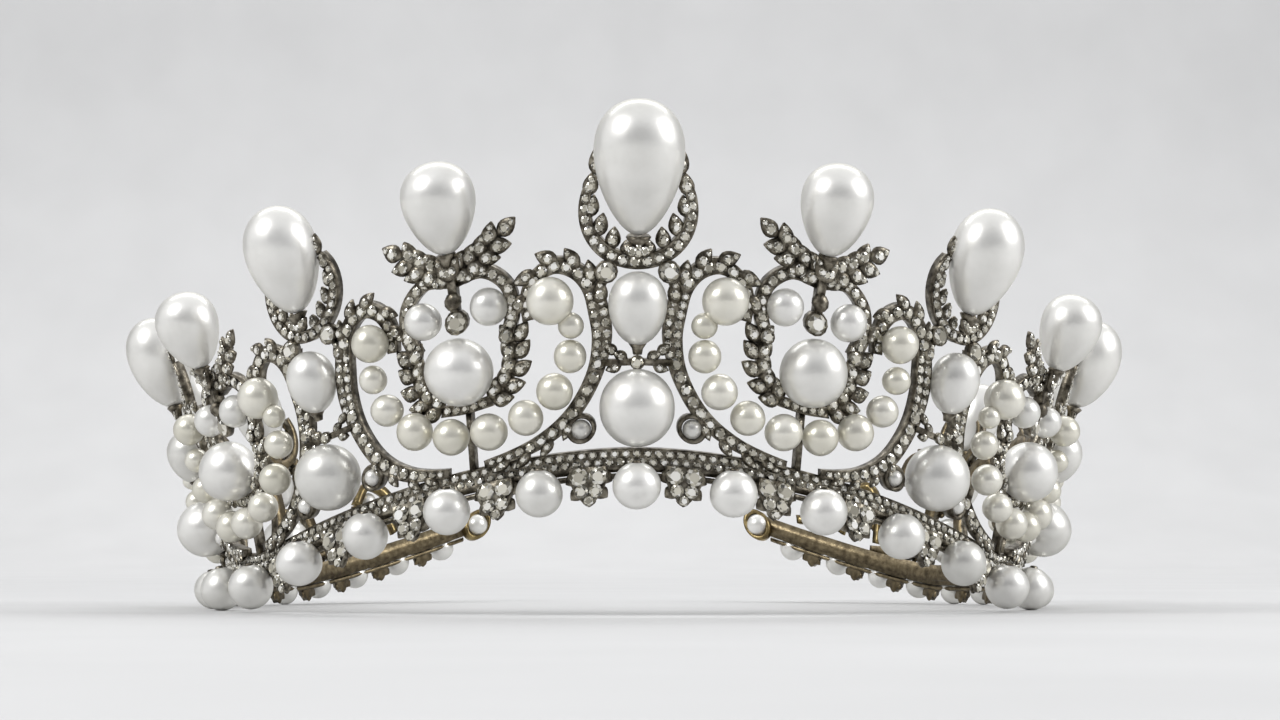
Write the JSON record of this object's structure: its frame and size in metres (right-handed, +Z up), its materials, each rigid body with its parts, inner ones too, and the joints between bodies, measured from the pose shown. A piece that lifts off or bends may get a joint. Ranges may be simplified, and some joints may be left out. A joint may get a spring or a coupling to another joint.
{
  "type": "tiara",
  "caption": "Open-backed pearl and diamond tiara with scroll columns, laurel wreaths, pearl garlands, pear-shaped top pearls and a pearl fringe under its rail, arched over the brow.",
  "frame": {"origin": "centre of the bounding box's base, on the surface that the tiara rests on", "axes": "+X to the wearer's left, -Y out through the centre front, +Z up through the tips"},
  "size_m": [0.1922, 0.1746, 0.0844],
  "materials": {
    "silver": "darkened silver, set with brilliant-cut stones",
    "gold": "polished yellow gold",
    "pearl": "lustrous cream-white pearl",
    "diamond": "faceted clear brilliants"
  },
  "bodies": {
    "root": {"rail": "silver", "fringe_front": "pearl", "fringe_left": "pearl", "fringe_right": "pearl", "column_0": "silver", "top_pear_0": "pearl", "drop_pearl_0": "pearl", "great_pearl_0": "pearl", "column_2_left": "silver", "top_pear_2_left": "pearl", "drop_pearl_2_left": "pearl", "great_pearl_2_left": "pearl", "column_2_right": "silver", "top_pear_2_right": "pearl", "drop_pearl_2_right": "pearl", "great_pearl_2_right": "pearl", "column_4_left": "silver", "top_pear_4_left": "pearl", "drop_pearl_4_left": "pearl", "great_pearl_4_left": "pearl", "column_4_right": "silver", "top_pear_4_right": "pearl", "drop_pearl_4_right": "pearl", "great_pearl_4_right": "pearl", "column_6_left": "silver", "top_pear_6_left": "pearl", "drop_pearl_6_left": "pearl", "great_pearl_6_left": "pearl", "column_6_right": "silver", "top_pear_6_right": "pearl", "drop_pearl_6_right": "pearl", "great_pearl_6_right": "pearl", "wreath_1_left": "silver", "top_pear_1_left": "pearl", "great_pearl_1_left": "pearl", "swag_1_left": "pearl", "wreath_1_right": "silver", "top_pear_1_right": "pearl", "great_pearl_1_right": "pearl", "swag_1_right": "pearl", "wreath_3_left": "silver", "top_pear_3_left": "pearl", "great_pearl_3_left": "pearl", "swag_3_left": "pearl", "wreath_3_right": "silver", "top_pear_3_right": "pearl", "great_pearl_3_right": "pearl", "swag_3_right": "pearl", "wreath_5_left": "silver", "top_pear_5_left": "pearl", "great_pearl_5_left": "pearl", "swag_5_left": "pearl", "wreath_5_right": "silver", "top_pear_5_right": "pearl", "great_pearl_5_right": "pearl", "swag_5_right": "pearl", "heel_scroll_left": "gold", "heel_scroll_right": "gold"}
  },
  "joints": []
}
